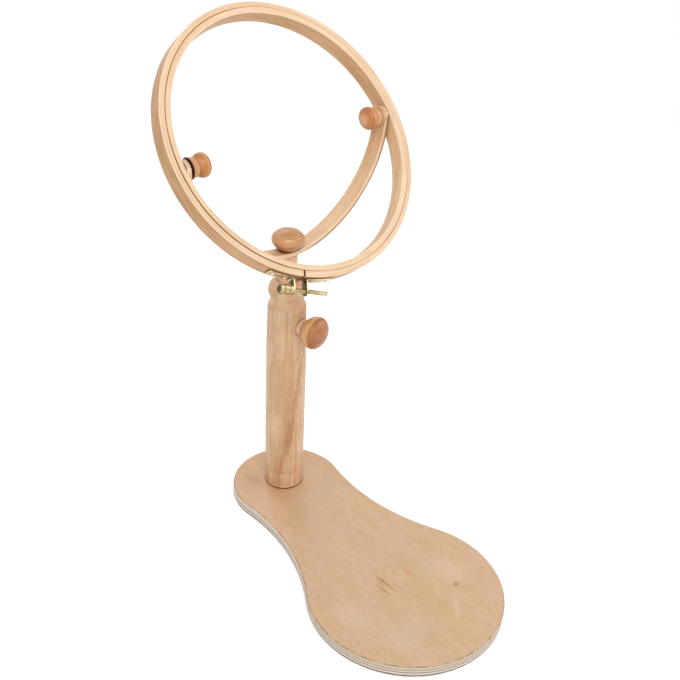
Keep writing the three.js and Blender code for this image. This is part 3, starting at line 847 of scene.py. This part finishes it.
def makeHoop():
    h = hoop
    inside, meeting = h["innerRadius"], h["innerRadius"] + h["innerWall"]
    inner = turnPiece("innerRing", ringProfile(inside, meeting, h["edge"], h["seamEdge"]), h["steps"])
    for side in (-1, 1):
        bore(inner, h["boltHole"], 100, 122, turned(side * 90, "Y"), 24)
        bore(inner, h["headHole"], h["headSeat"], 124, turned(side * 90, "Y"))
    wood = woodMaterial("hoopBeech", hoopWood, innerRingLook)
    finishPiece(inner, "hoop", ["inner_hoop"], wood, hoopFrame, ringGrain)
    meeting += h["gap"]
    profile = ringProfile(meeting, meeting + h["outerWall"], h["seamEdge"], h["edge"])
    outer = turnPiece("outerRing", profile, h["steps"])
    sawSlot(outer, (0, -meeting, 0), (h["split"], 30, 30))
    wood = woodMaterial("outerHoopBeech", hoopWood, outerRingLook, shift=(0.77, 0.4, 0.2))
    finishPiece(outer, "outer_ring", ["outer_hoop"], wood, closureFrame, ringGrain)


# yoke

yoke = {
    "halfWidth": 113.7, "thickness": 4.4, "depth": 104, "fullness": 0.515, "rise": 8.2, "width": 16.3,
    "edge": 0.7, "steps": 48, "boltHole": 2.9, "studHole": 3.4, "meanRadius": 108,
    "end": (242, 226, 212), "contactShadow": (128, 66, 28), "shaded": (128, 92, 62),
}


def yokeCurve(steps):
    # inner face of the yoke from the pivot on the +X side to its middle, in X and Z
    start, full, end = (yoke["halfWidth"] - yoke["thickness"], 0), yoke["fullness"], (0, -yoke["depth"])
    return [start] + curveTo(start, (start[0], full * end[1]), (full * start[0], end[1]), end, steps)


def yokeLook(colour, vector):
    y = yoke
    half, pivot = y["width"] / 2, hoop["pivot"]
    place = objectPlace(colour.tree)
    height = place.axis("Z")
    # painted shade on the wide faces, stronger towards the pivots
    amount = height.within(pivot - 75, pivot - 10, 0.38, 0.78)
    colour = stripFaces(colour, vector, y["width"], amount, (), 0.4)
    # painted shadow on the outer face where it stands close to the hoop
    depth = attribute(colour.tree, "depth")
    near = height.within(pivot - 32, pivot - 14, 0, 0.75)
    colour = colour.painted(near * depth.ranged(0.93, 0.99), stripWood["shadow"])
    # painted shade on the narrow faces of the right arm, darker towards its outer corner
    right = place.axis("X").within(5, 30, 0, 0.9)
    narrow = abs(vector.axis("Y")).within(half - 0.6, half - 0.2)
    colour = colour.painted(right * narrow * depth.ranged(0.25, 0.85), y["shaded"])
    # a painted contact shadow round the foot of the knob
    upwards = addSignal(colour.tree, "NewGeometry", output="Normal").axis("Z").ranged(0.7, 0.9)
    ring = place.stretched((1, 1, 0)).length().band(yokeKnob["foot"], 0.7, 3.4, 0.65)
    return colour.painted(ring * upwards, y["contactShadow"])


def makeYoke():
    y = yoke
    half = y["width"] / 2
    right = [(y["halfWidth"] - y["thickness"], y["rise"])] + yokeCurve(y["steps"])
    line = [(x, -half, z) for x, z in right] + [(-x, -half, z) for x, z in right[-2::-1]]
    strip = drawStrip("yokeStrip", line, (0, y["width"], 0))
    face = strip.data.polygons[len(strip.data.polygons) // 2]
    outward = face.normal.dot(face.center) > 0
    applyModifier(strip, "SOLIDIFY", thickness=y["thickness"] * mm, offset=1 if outward else -1,
                  use_even_offset=True)
    tidyMesh(strip)
    roundCorners(strip, y["thickness"], half - 0.05, 12,
                 lambda a, b: abs(a.y - b.y) < 0.01 * mm and min(a.z, b.z) > (y["rise"] - 0.1) * mm)
    easeEdges(strip, y["edge"], 3, 50)
    for side in (-1, 1):
        bore(strip, y["boltHole"], 95, 125, turned(side * 90, "Y"), 24)
    bore(strip, y["studHole"], -120, -95, steps=24)
    inside = [Vector(place) * mm for place in right]

    def depthOf(point, normal):
        # 0 on the inner face and 1 on the outer
        place = Vector((abs(point.x), point.z))
        nearest = min(inside, key=lambda spot: (spot - place).length)
        index = min(max(inside.index(nearest), 1), len(inside) - 2)
        along = (inside[index + 1] - inside[index - 1]).normalized()
        return abs((place - nearest).cross(along)) / (y["thickness"] * mm)

    markFaces(strip, "depth", depthOf)
    wood = woodMaterial("yokeBeech", hoopWood, yokeLook, shift=(0.1, 0.8, 0.45), end=y["end"])
    finishPiece(strip, "yoke_arm", ["yoke"], wood, yokeFrame, yokeGrain)


# knobs, each from its seat at 0 along its own axis; bands: where each further tone starts, how softly,
# and the tone, some tones being painted light and shade; grooves, painted shade in grooves and at the seat:
# middle, half width, amount and tone

clampKnob = {
    "height": 201, "heading": -74, "seat": 17, "stand": 0.3, "turn": 98, "shift": (0.2, 0.9, 0.1),
    "recess": 9.2, "foot": 8.3, "flange": 0, "collar": 8.3, "footLength": 4.2, "waist": 7.6,
    "waistAt": 5.6, "rim": 15.9, "rimAt": 18, "crown": 8.8, "fullness": 0.65, "hole": 3.2, "holeDepth": 10.8,
    "tone": (244, 214, 190),
    "bands": ((4.6, 0.5, (226, 174, 116)), (7.6, 0.8, (230, 184, 128)), (19.2, 1.2, (184, 122, 66))),
    "lines": 0.25, "grooves": ((5.2, 0.2, 0.4, (96, 48, 20)),),
}
yokeKnob = {
    "turn": -36, "shift": (0.5, 0.3, 0.4),
    "foot": 8.6, "flange": 0, "collar": 8.6, "footLength": 0.7, "waist": 8.5, "waistAt": 1.2, "rim": 15.3,
    "rimAt": 9.9, "crown": 9.4, "fullness": 0.7, "hole": 5.2, "holeDepth": 11.1,
    # the darker tones towards the foot are painted shade on its underside, and its groove a painted contact
    # shadow
    "tone": (178, 130, 88), "bands": ((2.5, 2, (192, 138, 90)), (9, 3, (216, 168, 118))),
    "lines": 0.45, "grooves": ((0, 0.3, 0.5, (110, 58, 26)),),
}
pivotKnob = {
    "standOff": {"left": 0.7, "right": 0}, "shift": (0.7, 0.6, 0.2),
    "foot": 9.3, "flange": 2.2, "collar": 8.4, "footLength": 5.4, "waist": 6.6, "waistAt": 7.6, "rim": 10.5,
    "rimAt": 14.2, "crown": 5.6, "fullness": 0.8, "hole": 4.7, "holeDepth": 11.1,
    "tone": (236, 182, 140),
    # the pale ring at the rim and the pale middle of the crown are painted highlights, the darker edge of the
    # crown painted shade
    "bands": ((2.3, 0.3, (236, 192, 142)), (8.2, 0.8, (208, 144, 84)), (12.4, 0.9, (224, 168, 114)),
              (14.6, 1.2, (206, 134, 76)), (17.9, 1.6, (222, 158, 106)), (19.3, 0.7, (250, 208, 164))),
    "lines": 0.25,
    # the dark first groove is a painted shadow of the gap at the seat, the others painted shade in grooves
    "grooves": ((0, 0.4, 1, (66, 30, 12)), (2.95, 0.25, 0.7, (126, 62, 26)),
                (4.9, 0.1, 0.45, (132, 66, 26)), (7.7, 0.2, 0.4, (132, 66, 26))),
}
knobShape = {
    "footRound": 0.5, "collarGroove": 7.6, "collarStep": 0.5, "roundness": 0.56, "skirtReach": 0.7,
    "steps": 72,
}
clampFrame = moved(0, 0, clampKnob["height"]) @ turned(clampKnob["heading"], "Z") @ turned(90, "Y")


def knobProfile(k):
    s = knobShape
    ease, step = s["footRound"], s["collarStep"]
    line = [(0, k["holeDepth"]), (k["hole"], k["holeDepth"]), (k["hole"], 0), (k["foot"] - ease, 0)]
    line += curveTo(line[-1], (k["foot"] - ease / 2, 0), (k["foot"], ease / 2), (k["foot"], ease), 3)
    if k["flange"]:
        flange, groove, collar = k["flange"], s["collarGroove"], k["collar"]
        line += [(k["foot"], flange - 0.3), (k["foot"] - 0.25, flange), (groove + 0.2, flange + step),
                 (groove, flange + 1.5 * step), (groove, flange + 2 * step),
                 (collar - 0.1, flange + 3 * step), (collar, flange + 3.4 * step)]
    line.append((k["collar"], k["footLength"]))
    line += curveTo(line[-1], (k["collar"], k["footLength"] + ease), (k["waist"], k["waistAt"] - ease),
                    (k["waist"], k["waistAt"]), 5)
    rim, rimAt = k["rim"], k["rimAt"]
    skirt = (rimAt - k["waistAt"]) / 2
    pull = k["waist"] + s["skirtReach"] * k["fullness"] * (rim - k["waist"])
    line += curveTo(line[-1], (pull, k["waistAt"] + (1 - k["fullness"]) * skirt), (rim, rimAt - skirt),
                    (rim, rimAt), 14)
    return line + curveTo(line[-1], (rim, rimAt + s["roundness"] * k["crown"]),
                          (s["roundness"] * rim, rimAt + k["crown"]), (0, rimAt + k["crown"]), 16)


def knobMaterial(name, knob):
    def look(colour, vector):
        # each length of the knob leans towards its own tone, and on some lengths that tone is painted light
        # and shade
        along = vector.axis("X")
        tones = colour.painted(1, knob["tone"])
        for start, soft, tone in knob["bands"]:
            tones = tones.painted(along.within(start - soft, start + soft), tone)
        colour = colour.blended(1, tones, "MULTIPLY")
        turnedLines = vector.stretched((1, 0.01, 0.01)).noise(750, 2, 0.7)
        colour = colour.painted(turnedLines.ranged(0.5, 0.7, 0, knob["lines"]), knobWood["line"])
        for middle, half, amount, tone in knob["grooves"]:
            # painted shade in the grooves and at the seat
            colour = colour.painted(along.band(middle, half, 0.35, amount), tone)
        return colour
    return woodMaterial(name, knobWood, look, shift=knob["shift"])


def makeKnob(name, knob, wood, body, node, place):
    piece = turnPiece(name, knobProfile(knob), knobShape["steps"])
    finishPiece(piece, body, [node], wood, place, crossGrain)


def makeKnobs():
    place = clampFrame @ moved(0, 0, clampKnob["seat"] + clampKnob["stand"])
    makeKnob("clampKnobTurned", clampKnob, knobMaterial("clampKnobBeech", clampKnob), "clamp", "clamp_knob",
             place @ turned(clampKnob["turn"], "Z"))
    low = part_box("yoke_knob")[0].z
    makeKnob("yokeKnobTurned", yokeKnob, knobMaterial("yokeKnobBeech", yokeKnob), "yoke_knob_turn",
             "yoke_knob", Matrix.Translation((0, 0, low)) @ turned(yokeKnob["turn"], "Z"))
    wood = knobMaterial("pivotKnobBeech", pivotKnob)
    # how far from the hoop's middle these knobs' feet clear the curving yoke
    seat = next(x for x, z in yokeCurve(200) if z <= -pivotKnob["foot"]) - 0.3
    for side, word in ((-1, "left"), (1, "right")):
        away = pivotKnob["standOff"][word] - seat
        makeKnob("pivotKnobTurned." + word, pivotKnob, wood, "pivot_knob_" + word + "_turn",
                 "pivot_knob_" + word, hoopFrame @ turned(-side * 90, "Y") @ moved(0, 0, away))


# closure of the outer ring

closure = {
    "width": 8, "thickness": 1.2, "lift": 0.3, "reach": 31, "bend": 1.6, "earLength": 14.6,
    "ear": {"left": 7.3, "right": 4}, "cornerRadius": 3.9, "screwDrop": 10.5, "screwRadius": 1.9,
    "screwPlay": 0.4, "tip": 26.2, "headRadius": 4.4, "headLength": 11.6, "slot": (1.3, 12, 5),
    "pitch": 0.8, "threadDepth": 0.28,
    "tacks": (14, 26), "tackRadius": 1.8, "tackShank": 0.8, "tackRise": 0.8,
}
outerRadius = 125
# the screw's axis, from the left ear to the right, in the outer ring's own frame
screwFrame = moved(0, -(outerRadius + closure["screwDrop"]), 0) @ turned(90, "Y")


def makeBracket(side, word, metal):
    c = closure
    half = c["thickness"] / 2
    ear = c["ear"][word] + half
    middle = outerRadius + c["lift"] + half
    bendX = ear + c["bend"]
    bendY = -math.sqrt(middle ** 2 - bendX ** 2)
    line = [(ear, -(outerRadius + c["earLength"])), (ear, bendY - c["bend"])]
    line += curveTo(line[-1], (ear, bendY - c["bend"] * 0.45), (bendX - c["bend"] * 0.55, bendY),
                    (bendX, bendY), 6)
    start = -math.pi / 2 + math.asin(bendX / middle)
    line += arc((0, 0), middle, start, -math.pi / 2 + c["reach"] / middle, 14)[1:]
    line = [(x, y, -c["width"] / 2) for x, y in line]
    strip = drawStrip("closureBracket." + word, line, (0, 0, c["width"]))
    applyModifier(strip, "SOLIDIFY", thickness=c["thickness"] * mm, offset=0, use_even_offset=True)
    ends = (Vector(line[0][:2]) * mm, Vector(line[-1][:2]) * mm)
    roundCorners(strip, c["thickness"], c["cornerRadius"], 8, lambda a, b: abs(a.z - b.z) < 0.01 * mm
                 and min(((a + b).xy / 2 - end).length for end in ends) < 0.1 * mm)
    bore(strip, c["screwRadius"] + c["screwPlay"], -40, 40, screwFrame)
    easeEdges(strip, 0.2, 2, 50)
    if side < 0:
        settle(strip, Matrix.Scale(-1, 4, (1, 0, 0)))
        tidyMesh(strip)
    markFaces(strip, "shadeAndDarkReflection", bracketShadeAndReflection)
    finishPiece(strip, "outer_ring", ["closure_bracket_" + word], metal, closureFrame)


def bracketShadeAndReflection(point, normal):
    # a painted dark reflection on the ears' left faces, and painted shade on the faces that point away from
    # the ring
    if point.y < -(outerRadius + 1.8) * mm and normal.x < -0.5:
        return 0.92
    return 0.4 if normal.xy.dot(point.xy.normalized()) > 0.7 else 0.0


def makeTacks(side, word, metal):
    c = closure
    seat = outerRadius + c["lift"] + c["thickness"]
    under, crown, radius = seat + 0.05, seat + c["tackRise"] + 0.2, c["tackRadius"]
    for order, along in enumerate(c["tacks"]):
        profile = [(0, seat - 4), (c["tackShank"], seat - 3.2), (c["tackShank"], under), (radius, under)]
        profile += curveTo(profile[-1], (radius, seat + 0.6 * c["tackRise"]), (0.6 * radius, crown),
                           (0, crown), 6)
        tack = turnPiece(f"closureTack.{word}.{order + 1}", profile, 24)
        place = closureFrame @ turned(math.degrees(side * along / seat), "Z") @ turned(90, "X")
        finishPiece(tack, "outer_ring", [f"closure_tack_{word}_{order + 1}"], metal, place)


def screwSeat():
    # where the screw's head lies against the left ear, along the screw
    return -(closure["ear"]["left"] + closure["thickness"] + closure["lift"])


def makeScrew(metal):
    c = closure
    face = screwSeat()
    end = face - c["headLength"]
    head, shank, root, tip = c["headRadius"], c["screwRadius"], c["screwRadius"] - c["threadDepth"], c["tip"]
    line = [(0, end + 1), (head - 1.5, end + 1), (head - 1.2, end), (head - 0.5, end), (head, end + 0.5)]
    for groove in (end + 2.6, face - 3.4):
        line += [(head, groove), (head - 0.6, groove + 0.4), (head - 0.6, groove + 1), (head, groove + 1.4)]
    line += [(head, face - 0.3), (head - 0.3, face), (shank, face)]
    place = face + 0.2
    while place < tip - 1.2:
        line += [(root, place), (shank, place + 0.3), (shank, place + 0.45)]
        place += c["pitch"]
    line += [(root, place), (shank - 0.1, tip - 0.6), (shank - 0.6, tip), (0, tip)]
    screw = turnPiece("closureScrewTurned", line, 32)
    sawSlot(screw, (0, 0, end), c["slot"])
    markFaces(screw, "shadeAndDarkReflection", screwShadeAndReflection)
    place = closureFrame @ screwFrame
    finishPiece(screw, "closure_screw_turn", ["closure_screw"], metal, place, angle=30)


def screwShadeAndReflection(point, normal):
    # painted shade in the slot, in the grooves of the head and at the roots of the thread
    c = closure
    face = screwSeat()
    end = face - c["headLength"]
    radius, height = math.hypot(point.x, point.y) / mm, point.z / mm
    if height < end + 2.6 and radius < c["headRadius"] - 0.05:
        return 0.95 if abs(normal.x) > 0.9 or height > end + 2.4 else 0.6
    if height < face and radius < c["headRadius"] - 0.4:
        return 0.45
    return 0.4 if height > face and radius < c["screwRadius"] - 0.2 else 0.0


brassLook = {
    "smears": (90, 2, 0.5), "shown": (0.4, 0.62), "bright": (238, 224, 184), "dull": (196, 174, 124),
    "rough": (0.2, 0.28), "shadeAndDarkReflection": (66, 50, 26),
}
steelLook = {
    "smears": (420, 3, 0.6), "shown": (0.35, 0.7), "bright": (196, 196, 192), "dull": (158, 158, 156),
    "rough": (0.28, 0.42),
}


def metalMaterial(name, look):
    material, tree, shader = newMaterial(name)
    place = objectPlace(tree)
    smears = place.noise(*look["smears"])
    colour = smears.ranged(*look["shown"]).between(look["bright"], look["dull"])
    if "shadeAndDarkReflection" in look:
        # painted shade and dark reflections, from the marks on the brass pieces
        colour = colour.painted(attribute(tree, "shadeAndDarkReflection"), look["shadeAndDarkReflection"])
        scratches = place.stretched((1, 1, 0.2)).noise(2500, 1, 0.5)
        fill(shader, {"Normal": scratches.bumped(0.02, 0.02)})
    rough = smears.ranged(0.3, 0.7, *look["rough"])
    fill(shader, {"Base Color": colour, "Roughness": rough, "Metallic": 1})
    return material


addCamera()
addStudio()
addFloor()
print("camera, lights and floor are in place")
woodGroup()
makeBoard()
print("board done")
makePost()
print("post and rod done")
makeHoop()
makeYoke()
print("hoop and yoke done")
makeKnobs()
print("knobs done")
brass = metalMaterial("paleBrass", brassLook)
steel = metalMaterial("zincSteel", steelLook)
for make in (makeBracket, makeTacks):
    for side, word in ((-1, "left"), (1, "right")):
        make(side, word, brass)
makeScrew(brass)
# the inserts, studs, bolts and base screws keep their solids
for name in ("clamp_insert", "yoke_knob_insert", "pivot_knob_left_insert", "pivot_knob_right_insert"):
    coat(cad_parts[name], brass)
for name in ("base_screw_left", "base_screw_right", "clamp_stud", "yoke_stud",
             "pivot_bolt_left", "pivot_bolt_right"):
    coat(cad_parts[name], steel)
print("metal done")
